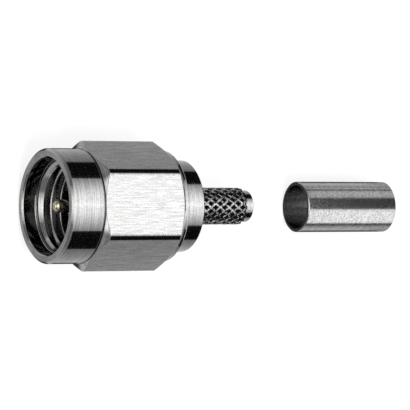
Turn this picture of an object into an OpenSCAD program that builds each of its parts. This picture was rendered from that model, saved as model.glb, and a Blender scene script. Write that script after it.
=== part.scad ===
// Straight crimp plug for thin coaxial cable, with its loose crimp ferrule.
// The connector's axis is X and the socket comes on from -X.
// X = 0 is the mating plane, the front face of the outer contact.

/* [Coupling nut] */
// Size across the wrench flats
across_flats = 8; // [7.8:0.1:9]
// Radius turned off the hexagon's sharp corners
corner_trim = 0.11; // [0.03:0.01:0.2]
// Length of the hexagon between the outer ends of its chamfers
hex_len = 6.2; // [5.8:0.1:8]
// Length of the round skirt in front of the hexagon
skirt_len = 2.6; // [2:0.1:3.2]
// How far the skirt is turned below the flats
skirt_step = 0.02; // [0.02:0.01:0.2]
// Width of the turned line between skirt and hexagon
parting_w = 0.13; // [0.08:0.01:0.2]
// Depth of the turned line below the skirt
parting_depth = 0.12; // [0.05:0.01:0.2]
// Angle of the hexagon's end chamfers from the end plane
chamfer_angle = 31; // [20:1:40]
// Length of the round collar at the back
collar_len = 0.43; // [0.25:0.01:0.8]
// How far the collar is turned below the flats
collar_step = 0.1; // [0.05:0.01:0.3]
// Bevel on the outside of the skirt's rim
rim_bevel = 0.16; // [0.05:0.01:0.25]
// Bevel on the inside of the skirt's rim
mouth_bevel = 0.12; // [0.05:0.01:0.2]
// Edge break on the back of the collar
collar_bevel = 0.08; // [0.03:0.01:0.15]
// How far the skirt's rim stands in front of the mating plane
nut_reach = 3.1; // [2.9:0.05:3.3]
// Room for the socket's wall between outer contact and the root of the thread
socket_wall = 0.875; // [0.85:0.005:0.9]
// How far the plain mouth is opened beyond the root of the thread
mouth_step = 0.175; // [0.12:0.005:0.25]
// Depth of the plain mouth
mouth_depth = 1.2; // [0.6:0.05:1.4]
// Depth of the relief behind the thread
relief_depth = 0.125; // [0.08:0.005:0.2]
// Length of the relief behind the thread
relief_len = 1.1; // [0.9:0.05:1.3]
// Length of the land at the back that runs on the body's neck
land_len = 2.95; // [2.6:0.05:3.2]

/* [Body] */
// Diameter of the outer contact
barrel_d = 4.6; // [4.55:0.01:4.7]
// Length of the outer contact
barrel_len = 2; // [1.9:0.05:2.1]
// Edge break on the front of the outer contact
edge = 0.05; // [0.02:0.01:0.1]
// Wall of the outer contact
barrel_wall = 0.24; // [0.22:0.01:0.27]
// Depth of the bore that holds the dielectric
barrel_bore_depth = 6; // [5.8:0.05:6.6]
// How far the gasket's seat stands out beyond the outer contact
seat_step = 0.2; // [0.16:0.01:0.25]
// How far the neck that the nut turns on stands out beyond the gasket's seat
shoulder = 0.25; // [0.2:0.01:0.3]
// Width of the groove for the retaining ring
ring_groove_w = 1.05; // [0.9:0.05:1.2]
// Depth of the groove for the retaining ring
ring_groove_depth = 0.36; // [0.35:0.01:0.4]
// Diameter of the flange behind the nut
flange_d = 6.4; // [6:0.05:6.8]
// Thickness of the flange
flange_len = 1.56; // [1.2:0.02:1.8]
// Edge break on the flange
flange_bevel = 0.1; // [0.04:0.01:0.2]
// Gap between nut and flange with the nut pushed back
nut_gap = 0.11; // [0.05:0.01:0.2]
// Bore through the stem for the cable's core
stem_bore_d = 1.6; // [1.56:0.01:1.7]
// Countersink at the stem's end, along the radius
stem_mouth = 0.12; // [0.05:0.01:0.16]

/* [Knurled stem] */
// Diameter over the knurl
knurl_d = 2.6; // [2.5:0.01:2.9]
// Depth of the pits between the knurl's ridges
knurl_depth = 0.16; // [0.08:0.01:0.2]
// Width of the ridges between the pits
ridge_w = 0.12; // [0.06:0.01:0.2]
// Pits round the stem
knurl_teeth = 15; // [12:1:20]
// Rows of pits along the stem
knurl_rows = 6; // [5:1:9]
// Distance from one row to the next
knurl_pitch = 0.74; // [0.6:0.01:0.8]
// Width of the plain groove between flange and knurl
root_w = 0.15; // [0.1:0.01:0.3]
// Diameter of the smooth tip
tip_d = 2.2; // [2.16:0.01:2.4]
// Length of the smooth tip
tip_len = 0.66; // [0.4:0.02:1]
// Edge break at the end of the tip
tip_bevel = 0.05; // [0.03:0.01:0.1]

/* [Retaining ring] */
// Thickness of the ring along the axis
ring_t = 0.5; // [0.4:0.02:0.55]
// Width of the ring along the radius
ring_w = 0.34; // [0.3:0.01:0.35]
// How far the ring stands out of the body's groove
ring_proud = 0.17; // [0.12:0.01:0.19]
// Width of the split in the ring
ring_split = 1; // [0.6:0.05:2]

/* [Gasket] */
// Thickness of the gasket
gasket_t = 0.6; // [0.5:0.02:0.7]
// Width of the gasket along the radius
gasket_w = 0.49; // [0.42:0.01:0.55]

/* [Dielectric] */
// How far the dielectric's face lies behind the mating plane
face_recess = 0.05; // [0.02:0.01:0.1]

/* [Centre contact] */
// Diameter of the mating pin
pin_d = 0.91; // [0.9:0.005:0.94]
// Length of the mating pin in front of the mating plane
pin_len = 2.45; // [2.3:0.01:2.6]
// Diameter of the flat end of the pin
pin_end_d = 0.4; // [0.3:0.01:0.5]
// Length of the cone at the end of the pin
pin_cone_len = 0.2; // [0.15:0.01:0.3]
// Diameter of the contact in the dielectric
contact_d = 1.27; // [1.24:0.01:1.3]
// Diameter of the collar that catches in the dielectric
catch_d = 1.5; // [1.45:0.01:1.54]
// Length of the collar that catches in the dielectric
catch_len = 0.5; // [0.3:0.05:0.7]
// Distance of the collar behind the mating plane
catch_at = 2; // [1.5:0.1:3]
// Diameter of the hole for the cable's wire
wire_hole_d = 0.54; // [0.5:0.01:0.6]
// Depth of the hole for the cable's wire
wire_hole_depth = 2.5; // [2:0.1:3]
// Diameter of the solder hole across the wire hole
solder_hole_d = 0.36; // [0.3:0.01:0.4]

/* [Crimp ferrule] */
// Outside diameter of the ferrule
ferrule_d = 3.64; // [3.5:0.02:4]
// Wall of the ferrule
ferrule_wall = 0.24; // [0.2:0.01:0.26]
// Length of the ferrule
ferrule_len = 7.5; // [6:0.1:9]
// Edge break on both ends of the ferrule
ferrule_bevel = 0.06; // [0.03:0.01:0.08]
// Distance from the stem's end to the loose ferrule
ferrule_gap = 5.55; // [2:0.05:12]

/* [Fits] */
// Running clearance between nut and neck, on the radius
running = 0.05; // [0.03:0.01:0.08]
// Clearance of the ring in the nut's groove
ring_play = 0.05; // [0.03:0.01:0.06]
// Clearance between pieces that are seated in each other, on the radius
seat = 0.01; // [0.005:0.005:0.02]

/* [Hidden] */
sides = 96;   // segments of the quick view on a full turn
over = 1;     // how far a cutting tool runs past what it cuts
bite = 0.1;   // how far the knurled sleeve reaches into the stem's core

flat_r = across_flats / 2;
corner_r = flat_r / cos(30) - corner_trim;
skirt_r = flat_r - skirt_step;
collar_r = flat_r - collar_step;
chamfer_len = (corner_r - skirt_r) * tan(chamfer_angle);

rim_x = -nut_reach;
hex_x = rim_x + skirt_len;
collar_x = hex_x + hex_len;
nut_end_x = collar_x + collar_len;
land_x = nut_end_x - land_len;

barrel_r = barrel_d / 2;
barrel_bore_r = barrel_r - barrel_wall;
seat_r = barrel_r + seat_step;
neck_r = seat_r + shoulder;
thread_r = barrel_r + socket_wall;
mouth_r = thread_r + mouth_step;
relief_r = thread_r + relief_depth;

neck_x = barrel_len + gasket_t;
flange_x = nut_end_x + nut_gap;
flange_end_x = flange_x + flange_len;
knurl_x = flange_end_x + root_w;
knurl_end_x = knurl_x + knurl_rows * knurl_pitch;
stem_end_x = knurl_end_x + tip_len;

knurl_r = knurl_d / 2;
valley_r = knurl_r - knurl_depth;
pit_half = [knurl_pitch / 2, PI * knurl_r / knurl_teeth];   // along the axis and round it
ridge_share = ridge_w / 2 * norm(pit_half) / (pit_half[0] * pit_half[1]);   // of a step from crossing to pit
core_r = min(valley_r, tip_d / 2) - seat;
groove_end_x = land_x + land_len / 2 + ring_groove_w / 2;
groove_x = groove_end_x - ring_groove_w;
ring_end_x = groove_end_x - seat;
ring_x = ring_end_x - ring_t;
ring_outer_r = neck_r + ring_proud;

catch_x = catch_at;
contact_end_x = barrel_bore_depth;
ferrule_x = stem_end_x + ferrule_gap;
ferrule_z = ferrule_d / 2 - flat_r;

// A body turned round the X axis from points of radius and place
module turned(points)
    rotate([0, 90, 0])
        rotate_extrude($fn = sides)
            polygon(points);

// A round tool or bar along X from one place to another
module round_bar(d, from, to)
    translate([from, 0, 0])
        rotate([0, 90, 0])
            cylinder(d = d, h = to - from, $fn = sides);

// The hexagon with a flat up and a flat down, and its corners turned to a circle with end chamfers
module hexagon() {
    intersection() {
        translate([hex_x, 0, 0])
            rotate([0, 90, 0])
                rotate([0, 0, 30])
                    cylinder(r = flat_r / cos(30), h = hex_len, $fn = 6);
        turned([
            [0, hex_x - over],
            [skirt_r, hex_x - over],
            [skirt_r, hex_x],
            [corner_r, hex_x + chamfer_len],
            [corner_r, collar_x - chamfer_len],
            [skirt_r, collar_x],
            [skirt_r, collar_x + over],
            [0, collar_x + over]
        ]);
    }
}

// The skirt in front, the line that parts it from the hexagon, and the collar behind
module skirt_and_collar()
    turned([
        [0, rim_x],
        [skirt_r - rim_bevel, rim_x],
        [skirt_r, rim_x + rim_bevel],
        [skirt_r, hex_x - parting_w],
        [skirt_r - parting_depth, hex_x - parting_w],
        [skirt_r - parting_depth, collar_x],
        [collar_r, collar_x],
        [collar_r, nut_end_x - collar_bevel],
        [collar_r - collar_bevel, nut_end_x],
        [0, nut_end_x]
    ]);

// All that is bored out of the nut: mouth, thread, relief, running land and the ring's groove
module nut_bore() {
    land_r = neck_r + running;
    turned([
        [0, rim_x - over],
        [mouth_r + mouth_bevel, rim_x - over],
        [mouth_r + mouth_bevel, rim_x],
        [mouth_r, rim_x + mouth_bevel],
        [mouth_r, rim_x + mouth_depth],
        [thread_r, rim_x + mouth_depth],
        [thread_r, land_x - relief_len],
        [relief_r, land_x - relief_len],
        [relief_r, land_x],
        [land_r, land_x],
        [land_r, ring_x - ring_play],
        [ring_outer_r + ring_play, ring_x - ring_play],
        [ring_outer_r + ring_play, ring_end_x + ring_play],
        [land_r, ring_end_x + ring_play],
        [land_r, nut_end_x + over],
        [0, nut_end_x + over]
    ]);
}

module coupling_nut() {
    color([0.78, 0.78, 0.77])
        difference() {
            union() {
                hexagon();
                skirt_and_collar();
            }
            nut_bore();
        }
}

// A sleeve with two sets of crossing helical ridges and a pointed pit in each diamond between them.
// Its net has ridge crossings at the even places and the bottoms of pits at the odd ones.
// On each step of the net one more point marks where the ridge ends and the pit begins.
// In the faces a, b, c and d are a cell's corners, and ab, cd, ac and bd the points on its four sides.
module knurled_sleeve() {
    cols = 2 * knurl_teeth;
    rows = 2 * knurl_rows;
    bore_r = core_r - bite;
    even = function (row, col) (row + col) % 2 == 0;
    at = function (row, col, r)
        let (a = 360 * col / cols)
            [knurl_x + row * knurl_pitch / 2, r * cos(a), r * sin(a)];
    from_here = function (row, col) even(row, col) ? ridge_share : 1 - ridge_share;
    points = concat(
        [
            for (row = [0:rows], col = [0:cols - 1])
                at(row, col, even(row, col) ? knurl_r : valley_r)
        ],
        [
            for (row = [0:rows], col = [0:cols - 1])
                at(row, col + from_here(row, col), knurl_r)
        ],
        [
            for (row = [0:rows - 1], col = [0:cols - 1])
                at(row + from_here(row, col), col, knurl_r)
        ],
        [for (row = [0, rows], col = [0:cols - 1]) at(row, col, bore_r)]
    );
    side_steps = cols * (rows + 1);     // first point on the steps round the stem
    long_steps = 2 * side_steps;        // first point on the steps along it
    front = long_steps + cols * rows;
    back = front + cols;
    faces = [
        for (col = [0:cols - 1])
            let (next = (col + 1) % cols)
                each concat(
                    [
                        for (row = [0:rows - 1])
                            let (
                                a = row * cols + col,
                                b = row * cols + next,
                                c = a + cols,
                                d = b + cols,
                                ab = side_steps + a,
                                cd = side_steps + c,
                                ac = long_steps + a,
                                bd = long_steps + b
                            )
                                each even(row, col)
                                    ? [
                                        [b, ab, bd], [a, bd, ab], [a, d, bd],
                                        [c, cd, ac], [a, ac, cd], [a, cd, d]
                                    ]
                                    : [
                                        [a, ac, ab], [b, ab, ac], [b, ac, c],
                                        [d, bd, cd], [b, c, cd], [b, cd, bd]
                                    ]
                    ],
                    let (
                        a = col,
                        b = next,
                        c = rows * cols + col,
                        d = rows * cols + next,
                        ab = side_steps + a,
                        cd = side_steps + c
                    )
                        [
                            [front + col, a, ab], [front + col, ab, front + next], [front + next, ab, b],
                            [back + col, cd, c], [back + col, back + next, cd], [back + next, d, cd],
                            [front + col, front + next, back + next], [front + col, back + next, back + col]
                        ]
                )
    ];
    polyhedron(points, faces, convexity = 4);
}

// Outside of the body without its knurl
module body_blank()
    turned([
        [0, 0],
        [barrel_r - edge, 0],
        [barrel_r, edge],
        [barrel_r, barrel_len],
        [seat_r, barrel_len],
        [seat_r, neck_x],
        [neck_r, neck_x],
        [neck_r, groove_x],
        [neck_r - ring_groove_depth, groove_x],
        [neck_r - ring_groove_depth, groove_end_x],
        [neck_r, groove_end_x],
        [neck_r, flange_x],
        [flange_d / 2 - flange_bevel, flange_x],
        [flange_d / 2, flange_x + flange_bevel],
        [flange_d / 2, flange_end_x - flange_bevel],
        [flange_d / 2 - flange_bevel, flange_end_x],
        [core_r, flange_end_x],
        [core_r, knurl_end_x],
        [tip_d / 2, knurl_end_x],
        [tip_d / 2, stem_end_x - tip_bevel],
        [tip_d / 2 - tip_bevel, stem_end_x],
        [0, stem_end_x]
    ]);

// Bore for the dielectric in front and for the cable's core behind
module body_bore()
    turned([
        [0, -over],
        [barrel_bore_r, -over],
        [barrel_bore_r, barrel_bore_depth],
        [stem_bore_d / 2, barrel_bore_depth],
        [stem_bore_d / 2, stem_end_x - stem_mouth],
        [stem_bore_d / 2 + stem_mouth, stem_end_x],
        [stem_bore_d / 2 + stem_mouth, stem_end_x + over],
        [0, stem_end_x + over]
    ]);

module body() {
    color([0.7, 0.7, 0.69])
        difference() {
            union() {
                body_blank();
                knurled_sleeve();
            }
            body_bore();
        }
}

// Split ring, seated against the back of its groove with the nut pushed back
module retaining_ring() {
    color([0.72, 0.55, 0.32])
        difference() {
            turned([
                [ring_outer_r - ring_w, ring_x],
                [ring_outer_r, ring_x],
                [ring_outer_r, ring_end_x],
                [ring_outer_r - ring_w, ring_end_x]
            ]);
            translate([ring_x - over, -ring_split / 2, 0])
                cube([ring_t + 2 * over, ring_split, ring_outer_r + over]);
        }
}

module gasket() {
    inner_r = seat_r + seat;
    color([0.75, 0.3, 0.2])
        turned([
            [inner_r, barrel_len],
            [inner_r + gasket_w, barrel_len],
            [inner_r + gasket_w, neck_x],
            [inner_r, neck_x]
        ]);
}

// Insulating sleeve with a groove in its bore for the contact's collar
module dielectric() {
    hole_r = contact_d / 2 + seat;
    color([0.95, 0.95, 0.93])
        turned([
            [hole_r, face_recess],
            [barrel_bore_r - seat, face_recess],
            [barrel_bore_r - seat, barrel_bore_depth],
            [hole_r, barrel_bore_depth],
            [hole_r, catch_x + catch_len + seat],
            [catch_d / 2 + seat, catch_x + catch_len + seat],
            [catch_d / 2 + seat, catch_x - seat],
            [hole_r, catch_x - seat]
        ]);
}

// Mating pin, collar, and at the back a hole for the wire with a cross hole for solder
module centre_contact() {
    color([0.85, 0.7, 0.4])
        difference() {
            turned([
                [0, -pin_len],
                [pin_end_d / 2, -pin_len],
                [pin_d / 2, -pin_len + pin_cone_len],
                [pin_d / 2, face_recess],
                [contact_d / 2, face_recess],
                [contact_d / 2, catch_x],
                [catch_d / 2, catch_x],
                [catch_d / 2, catch_x + catch_len],
                [contact_d / 2, catch_x + catch_len],
                [contact_d / 2, contact_end_x],
                [0, contact_end_x]
            ]);
            round_bar(wire_hole_d, contact_end_x - wire_hole_depth, contact_end_x + over);
            translate([contact_end_x - wire_hole_depth / 2, 0, 0])
                cylinder(d = solder_hole_d, h = contact_d, $fn = sides / 3);
        }
}

// Plain tube lying loose behind the stem, on the surface that the nut's lower flat rests on
module crimp_ferrule() {
    outer_r = ferrule_d / 2;
    bore_r = outer_r - ferrule_wall;
    end_x = ferrule_x + ferrule_len;
    color([0.75, 0.74, 0.72])
        translate([0, 0, ferrule_z])
            turned([
                [bore_r, ferrule_x],
                [outer_r - ferrule_bevel, ferrule_x],
                [outer_r, ferrule_x + ferrule_bevel],
                [outer_r, end_x - ferrule_bevel],
                [outer_r - ferrule_bevel, end_x],
                [bore_r, end_x]
            ]);
}

coupling_nut();
body();
retaining_ring();
gasket();
dielectric();
centre_contact();
crimp_ferrule();
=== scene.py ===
import math

import bmesh
import bpy
import numpy as np
from mathutils import Matrix, Vector


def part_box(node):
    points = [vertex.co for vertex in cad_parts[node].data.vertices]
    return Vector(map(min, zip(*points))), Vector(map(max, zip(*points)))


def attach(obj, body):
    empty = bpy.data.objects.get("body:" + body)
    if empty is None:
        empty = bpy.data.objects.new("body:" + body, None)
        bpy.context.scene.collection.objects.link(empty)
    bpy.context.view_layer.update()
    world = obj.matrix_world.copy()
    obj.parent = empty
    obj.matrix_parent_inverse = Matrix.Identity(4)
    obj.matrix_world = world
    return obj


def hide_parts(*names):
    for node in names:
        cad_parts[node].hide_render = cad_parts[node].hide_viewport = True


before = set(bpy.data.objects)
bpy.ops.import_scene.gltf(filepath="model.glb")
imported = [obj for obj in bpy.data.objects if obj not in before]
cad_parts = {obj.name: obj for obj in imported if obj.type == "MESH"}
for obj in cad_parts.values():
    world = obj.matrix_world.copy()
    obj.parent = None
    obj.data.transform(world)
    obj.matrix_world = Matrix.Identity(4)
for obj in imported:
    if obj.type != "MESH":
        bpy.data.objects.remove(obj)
scene = bpy.context.scene
mm = 0.001
white = (1, 1, 1, 1)
# black of the matt painted shade
paintedShadeBlack = (0.006, 0.006, 0.006, 1)
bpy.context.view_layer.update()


def boxOf(node):  # a piece's corners in millimetres
    low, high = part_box(node)
    return low / mm, high / mm


nutLow, nutHigh = boxOf("coupling_nut")
ferruleLow, ferruleHigh = boxOf("crimp_ferrule")
floorZ = nutLow.z  # the nut lies on its lower flat
print("frame loaded")


class Wire:  # a socket that can be used in sums
    def __init__(self, graph, socket):
        self.graph = graph
        self.socket = socket

    def math(self, operation, *values):
        return self.graph.add("Math", {"operation": operation}, dict(enumerate(values)))

    def __add__(self, other):
        return self.math("ADD", self, other)

    def __sub__(self, other):
        return self.math("SUBTRACT", self, other)

    def __rsub__(self, other):
        return self.math("SUBTRACT", other, self)

    def __mul__(self, other):
        return self.math("MULTIPLY", self, other)

    def __truediv__(self, other):
        return self.math("DIVIDE", self, other)

    def __rtruediv__(self, other):
        return self.math("DIVIDE", other, self)

    def __pow__(self, other):
        return self.math("POWER", self, other)

    def __rpow__(self, other):
        return self.math("POWER", other, self)

    def __gt__(self, other):
        return self.math("GREATER_THAN", self, other)

    def __lt__(self, other):
        return self.math("LESS_THAN", self, other)

    def __abs__(self):
        return self.math("ABSOLUTE", self)

    def atLeast(self, other):  # the larger of the two
        return self.math("MAXIMUM", self, other)

    __radd__ = __add__
    __rmul__ = __mul__


class Graph:  # the nodes of one material or of the world
    def __init__(self, owner):
        owner.use_nodes = True
        self.tree = owner.node_tree
        self.tree.nodes.clear()

    def add(self, kind, settings=None, sockets=None, out=0):
        node = self.tree.nodes.new("ShaderNode" + kind)
        for name, value in (settings or {}).items():
            if name == "stops":
                self.setStops(node.color_ramp, value)
            else:
                setattr(node, name, value)
        for name, value in (sockets or {}).items():
            self.feed(node.inputs[name], value)
        return Wire(self, node.outputs[out]) if node.outputs else None

    def setStops(self, ramp, stops):
        while len(ramp.elements) < len(stops):
            ramp.elements.new(0.5)
        for element, (place, level) in zip(ramp.elements, stops):
            element.position = place
            element.color = (level, level, level, 1)

    def feed(self, socket, value):
        if isinstance(value, Wire):
            self.tree.links.new(value.socket, socket)
        else:
            socket.default_value = value

    def mixColour(self, factor, first, second):
        return self.add("Mix", {"data_type": "RGBA"}, {0: factor, 6: first, 7: second}, out=2)

    def smooth(self, value, start, end):  # 0 before start, 1 after end
        return self.add(
            "MapRange",
            {"interpolation_type": "SMOOTHSTEP"},
            {"Value": value, "From Min": start, "From Max": end},
        )

    def position(self):  # the piece's own coordinates, in millimetres
        spot = self.add("TexCoord", out="Object")
        return self.add("VectorMath", {"operation": "SCALE"}, {0: spot, "Scale": 1 / mm})

    def parts(self, vector):
        return [self.add("SeparateXYZ", sockets={0: vector}, out=i) for i in range(3)]

    def stretched(self, vector, x, y, z):
        return self.add("VectorMath", {"operation": "MULTIPLY"}, {0: vector, 1: (x, y, z)})

    def noise(self, vector, scale, detail=3, roughness=0.5):
        return self.add(
            "TexNoise",
            {"noise_dimensions": "3D"},
            {"Vector": vector, "Scale": scale, "Detail": detail, "Roughness": roughness},
        )

    def backdropSeen(self):  # 1 to the camera and in reflections, 0 as light on the connector
        outs = ("Is Camera Ray", "Is Glossy Ray", "Is Transmission Ray")
        camera, glossy, clear = [self.add("LightPath", out=name) for name in outs]
        return camera.atLeast(glossy.atLeast(clear))


def newMaterial(name):
    material = bpy.data.materials.new(name)
    return material, Graph(material)


def surface(graph, sockets, shadeCover=None):  # shadeCover: how much of it is painted shade, black and matt
    shader = graph.add("BsdfPrincipled", sockets=sockets)
    if shadeCover:
        black = graph.add("BsdfDiffuse", sockets={"Color": paintedShadeBlack})
        shader = graph.add("MixShader", sockets={0: shadeCover, 1: shader, 2: black})
    graph.add("OutputMaterial", sockets={"Surface": shader})


def bump(graph, height, distance, normal=None):
    sockets = {"Strength": 1, "Distance": distance * mm, "Height": height}
    if normal:
        sockets["Normal"] = normal
    return graph.add("Bump", sockets=sockets)


# the camera looks down on the connector from the front
cameraSet = {
    "angle": 30.9,  # from straight above towards the mouth, in degrees
    "side": 1.6,  # and to one side
    "distance": 250,  # millimetres
    "aside": 10.97,  # picture centre behind the nut's rim, across the picture
    "up": 0.076,  # and square to that
    "lens": 320.4,
    "sensor": 36,
    "clipStart": 0.01,  # metres
}


def placeCamera(s):
    turn = math.radians(s["angle"])
    lean = Matrix.Rotation(math.radians(s["side"]), 3, "X")
    back = lean @ Vector((-math.sin(turn), 0, math.cos(turn)))
    right = lean @ Vector((math.cos(turn), 0, math.sin(turn)))
    up = lean @ Vector((0, 1, 0))
    aim = Vector((nutLow.x, 0, 0)) + s["aside"] * right + s["up"] * up
    data = bpy.data.cameras.new("camera")
    data.lens = s["lens"]
    data.sensor_width = s["sensor"]
    data.clip_start = s["clipStart"]
    camera = bpy.data.objects.new("camera", data)
    facing = Matrix((right, up, back)).transposed().to_4x4()
    camera.matrix_world = Matrix.Translation((aim + s["distance"] * back) * mm) @ facing
    scene.collection.objects.link(camera)
    scene.camera = camera


placeCamera(cameraSet)
print("camera placed")

# the studio: a white room, one soft lamp, and a tent and cards that only reflections see
studio = {
    "room": 0.8,  # level of the white room
    "lamp": 0.8,
    "lampSize": 0.3,  # radians, as its turn
    "lampTurn": (0.3, -0.2, 0),
    "middle": 12,  # of floor and card, along the axis; millimetres
    "floorRadius": 60,
    "floorTone": 0.35,
    "floorGlow": 0.75,
    "floorUnder": 0.02,  # how far it lies under the nut
    "tentRadius": 900,
    "tentSegments": 64,
    "tentTop": 1.7,  # level straight above
    "tentLean": 1.6,  # degrees
    "tentFall": [  # share of that level, from straight above (0) to either side (1)
        (0, 1), (0.035, 0.9), (0.08, 0.83), (0.2, 0.77), (0.3, 0.62), (0.38, 0.5),
        (0.5, 0.33), (0.585, 0.22), (0.6, 0),
    ],
    "horizon": 0.004,  # level of the gap, low on both sides
    "gapAlong": (0.36, 0.44, 0.6, 0.68),  # where along the axis the gap begins and ends
    "sideTone": 0.2,  # level beside the gap
    "ends": (0.88, 0.98),  # where the tent's two ends begin, along the axis
    "endTone": 0.38,
    "frontStrip": (-0.95, -0.88, 0.07, 0.13),  # bright strip ahead: along, and up or down
    "stripTone": 1.4,
    "cardRadius": 60.5,
    "cardUnder": 0.01,  # and so just above the floor
    "cardTone": 0.17,  # far away
    "cardNear": 2.7,  # how much brighter it is near the axis
    "beyond": (-0.1, 1),  # how far ahead of nut and behind ferrule the next tone begins
    "beyondTone": 0.4,
    "shade": 0.06,  # darkest part of the card
    "paintedShadow": (6, 3.7),  # half-width of the painted shadow under nut and stem
    "paintedShadowEdge": 0.5,
    "narrowing": (-1, 2),  # where it narrows, from the nut's rear end
    "rimShade": (-3.2, -2.5),  # painted shade, a dark strip under the rim, along the axis
    "rimShadeEdge": (5.2, 8.2),  # where it fades to either side
    "sideCards": [  # cards for the ferrule: degrees round it from straight above, and level
        (-13, 40, 0.05),
        (-80, -20, 1.35),
        (-95, -84, 0.03),
        (48, 76, 0.62),
        (85, 100, 0.68),
    ],
    "sideCardReach": 30,
    "sideCardEnds": (33, 62),
    "sideCardSteps": 12,
}


def makeWorld(s):
    world = bpy.data.worlds.new("room")
    scene.world = world
    graph = Graph(world)
    level = graph.backdropSeen() * (1 - s["room"]) + s["room"]
    light = graph.add("Background", sockets={"Color": white, "Strength": level})
    graph.add("OutputWorld", sockets={"Surface": light})


def makeLamp(s):
    data = bpy.data.lights.new("softbox", "SUN")
    data.energy = s["lamp"]
    data.angle = s["lampSize"]
    lamp = bpy.data.objects.new("softbox", data)
    lamp.rotation_euler = s["lampTurn"]
    lamp.visible_glossy = False
    scene.collection.objects.link(lamp)


def disc(name, radius, middle, z, segments=96):
    ring = [2 * math.pi * i / segments for i in range(segments)]
    verts = [(radius * math.cos(a) * mm, radius * math.sin(a) * mm, z * mm) for a in ring]
    mesh = bpy.data.meshes.new(name)
    mesh.from_pydata(verts, [], [list(range(segments))])
    made = bpy.data.objects.new(name, mesh)
    made.location.x = middle * mm
    scene.collection.objects.link(made)
    return made


def onlyReflected(card):
    card.visible_camera = False
    card.visible_diffuse = False
    card.visible_shadow = False
    card.visible_transmission = False
    card.visible_volume_scatter = False


def shineWith(card, material, graph, level):  # the card's own light, seen in reflections alone
    onlyReflected(card)
    glow = graph.add("Emission", sockets={"Color": level})
    graph.add("OutputMaterial", sockets={"Surface": glow})
    material.cycles.emission_sampling = "NONE"
    card.data.materials.append(material)


def makeFloor(s):
    floor = disc("floor", s["floorRadius"], s["middle"], floorZ - s["floorUnder"])
    material, graph = newMaterial("floorPaper")
    tone = s["floorTone"]
    paper = graph.add("BsdfDiffuse", sockets={"Color": (tone, tone, tone, 1)})
    level = graph.backdropSeen() * s["floorGlow"]
    glow = graph.add("Emission", sockets={"Color": white, "Strength": level})
    both = graph.add("AddShader", sockets={0: paper, 1: glow})
    graph.add("OutputMaterial", sockets={"Surface": both})
    floor.data.materials.append(material)


def makeCard(s):  # lies on the floor, with a painted shadow under the nut and the stem
    card = disc("greyCard", s["cardRadius"], s["middle"], floorZ - s["cardUnder"])
    material, graph = newMaterial("greyCard")
    x, y, z = graph.parts(graph.position())
    x = x + s["middle"]
    aside = abs(y)
    # painted shadow of the connector on the card, seen only in reflections
    wide, narrow = s["paintedShadow"]
    start, end = [nutHigh.x + step for step in s["narrowing"]]
    half = graph.smooth(x, start, end) * (narrow - wide) + wide
    beside = graph.smooth(aside - half, -s["paintedShadowEdge"], s["paintedShadowEdge"])
    start, end = s["rimShade"]
    paintedRimShade = (x > start) * (x < end) * (1 - graph.smooth(aside, *s["rimShadeEdge"]))
    level = beside * (1 - paintedRimShade) * (s["cardNear"] / aside.atLeast(wide) + s["cardTone"])
    ahead, behind = s["beyond"]
    beyond = (x < nutLow.x + ahead).atLeast(x > ferruleHigh.x + behind) * (aside < wide)
    level = (level + beyond * (s["beyondTone"] - level)).atLeast(s["shade"])
    shineWith(card, material, graph, level)


def makeTent(s):
    bpy.ops.mesh.primitive_uv_sphere_add(
        segments=s["tentSegments"], ring_count=s["tentSegments"] // 2, radius=s["tentRadius"] * mm
    )
    tent = bpy.context.object
    tent.name = "tent"
    material, graph = newMaterial("tentCloth")
    x, y, z = graph.parts(graph.position())
    aroundX = abs(y.math("ARCTAN2", y, z) - math.radians(s["tentLean"])) / (math.pi / 2)
    top = graph.add("ValToRGB", {"stops": s["tentFall"]}, {"Fac": aroundX}) * s["tentTop"]
    away = x / s["tentRadius"]
    opens, opened, closes, closed = s["gapAlong"]
    gap = graph.smooth(away, opens, opened) * (1 - graph.smooth(away, closes, closed))
    level = top.atLeast(s["sideTone"] + gap * (s["horizon"] - s["sideTone"]))
    level = level + graph.smooth(abs(away), *s["ends"]) * (s["endTone"] - level)
    ahead, edge, inner, outer = s["frontStrip"]
    height = abs(z) / s["tentRadius"]
    strip = (1 - graph.smooth(away, ahead, edge)) * (1 - graph.smooth(height, inner, outer))
    level = level + strip * (s["stripTone"] - level)
    shineWith(tent, material, graph, level)


def makeSideCards(s):  # strips of a tunnel over the ferrule, seen only in its reflections
    axisZ = (ferruleLow.z + ferruleHigh.z) / 2
    steps = s["sideCardSteps"]
    faces = [(2 * k, 2 * k + 1, 2 * k + 3, 2 * k + 2) for k in range(steps)]
    for i, (low, high, tone) in enumerate(s["sideCards"]):
        verts = []
        for k in range(steps + 1):
            angle = math.radians(low + (high - low) * k / steps)
            y = s["sideCardReach"] * math.sin(angle)
            z = axisZ + s["sideCardReach"] * math.cos(angle)
            verts += [(x * mm, y * mm, max(z, floorZ) * mm) for x in s["sideCardEnds"]]
        mesh = bpy.data.meshes.new("sideCard")
        mesh.from_pydata(verts, [], faces)
        card = bpy.data.objects.new("sideCard_%d" % i, mesh)
        scene.collection.objects.link(card)
        shineWith(card, *newMaterial("sideCard"), (tone, tone, tone, 1))


makeWorld(studio)
makeLamp(studio)
makeFloor(studio)
makeCard(studio)
makeTent(studio)
makeSideCards(studio)
scene.view_settings.view_transform = "Standard"
print("studio ready")


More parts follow.
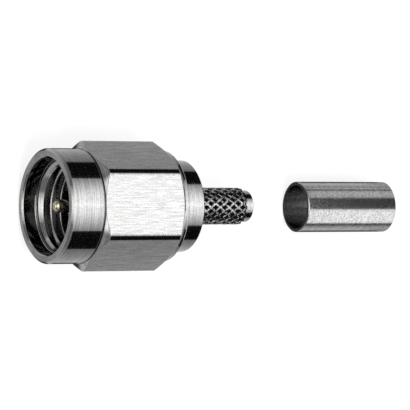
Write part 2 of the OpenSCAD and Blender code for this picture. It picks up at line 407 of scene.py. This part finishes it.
def metalSurface(graph, spot, lines, s, paintedShade=None):  # paintedShade: where painted shade stands for the little light that gets in
    grain = graph.noise(spot, s["grain"], detail=4, roughness=0.7)
    mix = lines * s["lineShare"] + grain * (1 - s["lineShare"])
    shine = graph.smooth(mix, 0.5 - s["contrast"], 0.5 + s["contrast"])
    tone = graph.mixColour(shine, s["dark"], s["light"])
    rough = s["rough"] + (mix - 0.5) * s["roughSpread"]
    height = lines + grain * s["grainHeight"]
    shadeCover = None
    if paintedShade:  # painted shade: dark there, and too smooth for the marks to show
        tone = graph.mixColour(paintedShade, tone, s["paintedShadeTone"])
        height = height * (1 - paintedShade)
        if s["shadeCoverShare"]:
            shadeCover = paintedShade * s["shadeCoverShare"]
    surface(graph, {
        "Base Color": tone,
        "Metallic": 1,
        "Roughness": rough,
        "Normal": bump(graph, height, s["depth"]),
    }, shadeCover)


def turnedLines(graph, spot, s):  # fine tool lines round the axis
    stretched = graph.stretched(spot, s["lines"], s["across"], s["across"])
    return graph.noise(stretched, 1, detail=4, roughness=0.6)


def turnedMetal(name, s):
    material, graph = newMaterial(name)
    spot = graph.position()
    metalSurface(graph, spot, turnedLines(graph, spot, s), s)
    return material


def fromAxis(y, z):
    return (y * y + z * z) ** 0.5


def bodyMetal(name, s):  # turned, with painted shade in the pits of the knurl and over its last rows
    material, graph = newMaterial(name)
    spot = graph.position()
    x, y, z = graph.parts(spot)
    # noise that makes the edge of the painted pit shade uneven
    uneven = (graph.noise(spot, s["shadeEdgeNoise"], detail=2) - 0.5) * s["shadeEdgeDepth"]
    pitShade = 1 - graph.smooth(fromAxis(y, z) + uneven, s["pitBottom"], s["pitTop"])
    # painted shade over the last rows of the knurl
    ending = graph.smooth(x, *s["knurlEnding"]) * s["endingShade"]
    start, end = s["knurl"]
    pitShade = pitShade.atLeast(ending) * (x > start) * (x < end)
    metalSurface(graph, spot, turnedLines(graph, spot, s), s, pitShade)
    return material


def nutMetal(name, s):  # turned, with brushed flats on the hexagon, and painted shade in the bore and in the turned line
    material, graph = newMaterial(name)
    spot = graph.position()
    turned = turnedLines(graph, spot, s)
    streaks = graph.stretched(spot, s["streakLength"], s["streaks"], s["streaks"])
    brushed = graph.noise(streaks, 1, detail=4, roughness=0.7)
    along, y, z = graph.parts(graph.add("NewGeometry", out="Normal"))
    facing = abs(z)
    for turn in (60, -60):
        side = z * math.cos(math.radians(turn)) + y * math.sin(math.radians(turn))
        facing = facing.atLeast(abs(side))
    x, y, z = graph.parts(spot)
    radius = fromAxis(y, z)
    hexStart = nutLow.x + nutSet["skirtLength"]
    lineStart = hexStart - nutSet["lineWidth"] - s["pastLine"]
    flat = (facing > s["flatFacing"]) * (x > hexStart)
    # painted shade on the bore's walls and in the turned line before the hexagon
    boreShade = (radius < nutSet["mouth"] + s["past"]) * (along > s["rimFacing"])
    line = (radius < nutSet["skirt"] - s["past"]) * (x > lineStart) * (x < hexStart)
    lines = turned + (brushed - turned) * flat
    metalSurface(graph, spot, lines, s, boreShade.atLeast(line))
    return material


metalLook = {
    "lines": 14,  # fineness along the axis, and across it
    "across": 0.3,
    "lineShare": 0.5,  # the rest is grain
    "grain": 8,
    "grainHeight": 0.8,
    "contrast": 0.1,
    "rough": 0.1,
    "roughSpread": 0.06,
    "depth": 0.0005,
    "dark": (0.42, 0.42, 0.418, 1),
    "light": (0.69, 0.69, 0.687, 1),
    # painted shade: its tone, and how much of it is black matt
    "paintedShadeTone": (0.16, 0.16, 0.16, 1),
    "shadeCoverShare": 0,
}
nutLook = dict(
    metalLook,
    lineShare=0.62,
    streaks=12,
    streakLength=0.7,
    flatFacing=0.9985,  # a face this near to a flat's direction is on the flat
    rimFacing=-0.35,  # and one that faces further ahead is on the rim
    past=0.03,  # how far the painted shade inside and in the turned line goes past its edges
    pastLine=0.01,
)


def plainMatt(name, s):
    material, graph = newMaterial(name)
    spot = graph.position()
    cloud = graph.noise(spot, s["clouds"])
    dark = tuple(s["cloudTone"] * c for c in s["tone"])
    surface(graph, {
        "Base Color": graph.mixColour(cloud, (*dark, 1), (*s["tone"], 1)),
        "Roughness": s["rough"],
        "Metallic": s["metallic"],
        "Normal": bump(graph, graph.noise(spot, s["grain"]), s["depth"]),
    })
    return material


plainLook = {"clouds": 3, "cloudTone": 0.85, "grain": 20, "depth": 0.001, "metallic": 0}
ringLook = dict(plainLook, tone=(0.72, 0.55, 0.32), rough=0.3, metallic=1)
gasketLook = dict(plainLook, tone=(0.75, 0.3, 0.2), rough=0.5)
sleeveLook = dict(plainLook, tone=(0.78, 0.78, 0.76), rough=0.4)


def pinMetal(name, s):  # the cone at the pin's end is polished round
    material, graph = newMaterial(name)
    spot = graph.position()
    x, y, z = graph.parts(spot)
    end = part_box("centre_contact")[0].x / mm
    centre = (end + s["nose"], 0, 0)
    away = graph.add("VectorMath", {"operation": "SUBTRACT"}, {0: spot, 1: centre})
    dome = graph.add("VectorMath", {"operation": "NORMALIZE"}, {0: away})
    plain = graph.add("NewGeometry", out="Normal")
    atEnd = 1 - graph.smooth(x, end + s["cone"], end + s["coneFade"])
    facing = graph.add("Mix", {"data_type": "VECTOR"}, {0: atEnd, 4: plain, 5: dome}, out=1)
    grain = graph.noise(spot, s["grain"])
    surface(graph, {
        "Base Color": graph.mixColour(grain, s["dark"], s["light"]),
        "Metallic": 1,
        "Roughness": s["rough"] + grain * s["roughSpread"],
        "Normal": bump(graph, grain, s["depth"], facing),
    })
    return material


pinLook = {
    "nose": 0.455,  # the dome's radius, and so its centre behind the end; millimetres
    "cone": 0.2,
    "coneFade": 0.3,
    "grain": 14,
    "depth": 0.0003,
    "rough": 0.1,
    "roughSpread": 0.08,
    "dark": (0.66, 0.6, 0.46, 1),
    "light": (0.84, 0.78, 0.6, 1),
}


def dress(node, material):
    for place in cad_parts[node].material_slots:
        place.material = material


def weightedNormals(mesh):  # large faces keep their own direction, so narrow roundings look round
    count = len(mesh.vertices)
    total = np.zeros((count, 3))
    for face in mesh.polygons:
        for corner in face.vertices:
            total[corner] += np.array(face.normal) * face.area
    length = np.linalg.norm(total, axis=1)
    length[length == 0] = 1
    mesh.polygons.foreach_set("use_smooth", [True] * len(mesh.polygons))
    mesh.normals_split_custom_set_from_vertices((total / length[:, None]).tolist())


# rings of equal length, joined in turn; loop joins the last to the first
def ringMesh(name, rings, loop):
    count = len(rings)
    size = len(rings[0])
    verts = [tuple(c * mm for c in point) for ring in rings for point in ring]
    faces = []
    for i in range(count if loop else count - 1):
        here, there = i * size, (i + 1) % count * size
        for j in range(size):
            k = (j + 1) % size
            faces.append((here + j, here + k, there + k, there + j))
    if not loop:
        faces.append(tuple(range(size))[::-1])
        faces.append(tuple((count - 1) * size + j for j in range(size)))
    mesh = bpy.data.meshes.new(name)
    mesh.from_pydata(verts, [], faces)
    whole = bmesh.new()
    whole.from_mesh(mesh)
    bmesh.ops.recalc_face_normals(whole, faces=whole.faces)
    if whole.calc_volume(signed=True) < 0:
        bmesh.ops.reverse_faces(whole, faces=whole.faces)
    whole.to_mesh(mesh)
    whole.free()
    weightedNormals(mesh)
    made = bpy.data.objects.new(name, mesh)
    scene.collection.objects.link(made)
    return made


# closed outline of corners: along, radius, rounding, and pieces of the next side
def outline(corners, steps=4, most=0.45):  # most: the share of a side that a rounding may take
    line = []
    for i, (x, r, size, pieces) in enumerate(corners):
        here = Vector((x, r))
        nextCorner = corners[(i + 1) % len(corners)]
        before = Vector(corners[i - 1][:2]) - here
        after = Vector(nextCorner[:2]) - here
        start = here + before.normalized() * min(size, before.length * most)
        end = here + after.normalized() * min(size, after.length * most)
        if size:
            for step in range(steps + 1):
                t = step / steps
                line.append(start * (1 - t) ** 2 + here * 2 * t * (1 - t) + end * t ** 2)
        else:
            line.append(here)
        nextReach = min(nextCorner[2], after.length * most)
        nextStart = Vector(nextCorner[:2]) - after.normalized() * nextReach
        for piece in range(1, pieces):
            line.append(end.lerp(nextStart, piece / pieces))
    return line


def softMin(a, b, reach):  # the smaller of two lengths, rounded where they are nearly equal
    overlap = max(reach - abs(a - b), 0) / reach
    return min(a, b) - overlap * overlap * reach / 4


# the coupling nut, in millimetres; lengths along it are from the rim
nutSet = {
    "flat": 4,  # from the axis, as all radii here
    "corner": 4.509,
    "skirt": 3.98,
    "skirtLength": 2.6,
    "lineWidth": 0.13,
    "lineDepth": 0.12,
    "hexLength": 6.2,
    "chamfer": 31,  # degrees
    "collar": 3.9,
    "rimBevel": (0.17, 0.18),  # along, across
    "mouthBevel": (0.12, 0.12),
    "mouth": 3.35,
    "mouthDepth": 1.06,
    "thread": 3.175,
    "threadEnd": 5.18,
    "relief": 3.3,
    "reliefEnd": 6.28,
    "land": 2.8,
    "groove": 2.97,
    "grooveFrom": 7.72,
    "grooveTo": 8.32,
    "edge": 0.03,  # rounding of the edges
    "collarEdge": 0.08,
    "mouthEdge": 0.1,
    "cornerSoft": 0.045,
    "chamferPieces": 22,
    "sidePieces": 8,
    "flatColumns": 17,  # to each side of a flat's middle, and degrees between them
    "flatStep": 1.5,
    "cornerFrom": 26.2,  # degrees from a flat's middle to the first column of a corner
    "cornerColumns": 19,
    "cornerStep": 0.4,
}


def nutOutline(s):
    e = s["edge"]
    length = nutHigh.x - nutLow.x
    hexStart = s["skirtLength"]
    hexEnd = hexStart + s["hexLength"]
    chamfer = (s["corner"] - s["skirt"]) * math.tan(math.radians(s["chamfer"]))
    rimAlong, rimAcross = s["rimBevel"]
    mouthAlong, mouthAcross = s["mouthBevel"]
    return [
        (0, s["mouth"] + mouthAcross, e, 1),
        (0, s["skirt"] - rimAcross, e, 1),
        (rimAlong, s["skirt"], e, 1),
        (hexStart - s["lineWidth"], s["skirt"], e, 1),
        (hexStart - s["lineWidth"], s["skirt"] - s["lineDepth"], 0, 1),
        (hexStart, s["skirt"] - s["lineDepth"], 0, 1),
        (hexStart, s["skirt"], 0, s["chamferPieces"]),
        (hexStart + chamfer, s["corner"], e, s["sidePieces"]),
        (hexEnd - chamfer, s["corner"], e, s["chamferPieces"]),
        (hexEnd, s["skirt"], 0, 1),
        (hexEnd, s["collar"], 0, 1),
        (length, s["collar"], s["collarEdge"], 1),
        (length, s["land"], e, 1),
        (s["grooveTo"], s["land"], e, 1),
        (s["grooveTo"], s["groove"], 0, 1),
        (s["grooveFrom"], s["groove"], 0, 1),
        (s["grooveFrom"], s["land"], e, 1),
        (s["reliefEnd"], s["land"], e, 1),
        (s["reliefEnd"], s["relief"], 0, 1),
        (s["threadEnd"], s["relief"], 0, 1),
        (s["threadEnd"], s["thread"], e, 1),
        (s["mouthDepth"], s["thread"], e, 1),
        (s["mouthDepth"], s["mouth"], s["mouthEdge"], 1),
        (mouthAlong, s["mouth"], e, 1),
    ]


def nutColumns(s):  # angles round the axis from a flat's middle, close together at the corners
    flat = [i * s["flatStep"] for i in range(-s["flatColumns"], s["flatColumns"] + 1)]
    corner = [s["cornerFrom"] + s["cornerStep"] * i for i in range(s["cornerColumns"])]
    return [math.radians(60 * k + a) for k in range(6) for a in flat + corner]


def makeNut(s):
    hexFrom, hexTo = s["skirtLength"], s["skirtLength"] + s["hexLength"]
    columns = nutColumns(s)
    rings = []
    for x, r in outline(nutOutline(s)):
        ring = []
        for angle in columns:
            across = r
            if hexFrom <= x <= hexTo and r > s["collar"]:
                fromFlat = (angle + math.pi / 6) % (math.pi / 3) - math.pi / 6
                across = softMin(r, s["flat"] / math.cos(fromFlat), s["cornerSoft"])
            ring.append((nutLow.x + x, across * math.sin(angle), across * math.cos(angle)))
        rings.append(ring)
    nut = ringMesh("hexNut", rings, True)
    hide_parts("coupling_nut")
    return nut


threadSet = {
    "pitch": 0.7056,
    "flank": 30,  # degrees
    "flankPieces": 8,
    "crest": 2.83,  # from the axis, as the root
    "root": 3.175,
    "buried": 0.06,  # how far the ridge's foot goes into the nut's wall
    "crestWidth": 0.088,
    "crestRounding": 0.04,
    "crestSteps": 3,
    "crestAt": 2.09,  # behind the rim, at the side that lies down
    "countersink": 45,
    "countersinkAt": 1.2,  # behind the rim
    "steps": 90,  # round one turn
    "runOut": 50,  # degrees
}


def makeThread(s, nut):  # a right-hand ridge, cut off in front by the countersink
    slope = math.tan(math.radians(s["flank"]))
    foot = s["root"] + s["buried"]
    crestHalf = s["crestWidth"] / 2
    footHalf = crestHalf + (foot - s["crest"]) * slope
    corners = [
        (-footHalf, foot, 0, s["flankPieces"]),
        (-crestHalf, s["crest"], s["crestRounding"], 1),
        (crestHalf, s["crest"], s["crestRounding"], s["flankPieces"]),
        (footHalf, foot, 0, 1),
    ]
    section = outline(corners, s["crestSteps"])
    firstX = nutLow.x + nut["mouthDepth"] - s["pitch"] / 2
    lastX = nutLow.x + nut["threadEnd"] - footHalf
    crestX = nutLow.x + s["crestAt"]
    steepness = math.tan(math.radians(s["countersink"]))
    turns = (lastX - firstX) / s["pitch"]
    count = int(turns * s["steps"])
    rings = []
    for i in range(count + 1):
        middle = firstX + (lastX - firstX) * i / count
        angle = 2 * math.pi * (middle - crestX) / s["pitch"] - math.pi / 2
        fade = min(1, (count - i) / s["steps"] * 360 / s["runOut"])
        ring = []
        for u, r in section:
            x = middle + u
            r = foot + (r - foot) * fade
            cone = s["root"] - (x - nutLow.x - s["countersinkAt"]) * steepness
            r = min(max(r, cone), foot)
            if x < nutLow.x + nut["mouthDepth"]:
                r = foot
            ring.append((x, r * math.cos(angle), r * math.sin(angle)))
        rings.append(ring)
    return ringMesh("couplingThread", rings, False)


hexNut = makeNut(nutSet)
thread = makeThread(threadSet, nutSet)
nutFinish = nutMetal("nutMetal", nutLook)
for piece in (hexNut, thread):
    piece.data.materials.append(nutFinish)
    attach(piece, "nut")
print("nut made")

bodyLook = dict(
    metalLook,
    pitBottom=1.25,  # from the axis, as pitTop
    pitTop=1.315,
    shadeEdgeNoise=7,
    shadeEdgeDepth=0.17,
    knurl=(7.9, 12.41),  # along the axis, as its ending
    knurlEnding=(12.12, 12.3),
    endingShade=0.7,
    # painted shade in the knurl's pits: its tone, and how much of it is black matt
    paintedShadeTone=(0.02, 0.02, 0.02, 1),
    shadeCoverShare=0.95,
)
ferruleLook = dict(metalLook, lines=5, lineShare=0.25, grain=7, contrast=0.14, rough=0.2)
dress("body", bodyMetal("bodyMetal", bodyLook))
dress("crimp_ferrule", turnedMetal("ferruleMetal", ferruleLook))
dress("retaining_ring", plainMatt("springBronze", ringLook))
dress("gasket", plainMatt("silicone", gasketLook))
dress("dielectric", plainMatt("ptfe", sleeveLook))
dress("centre_contact", pinMetal("contactGold", pinLook))
print("materials done")
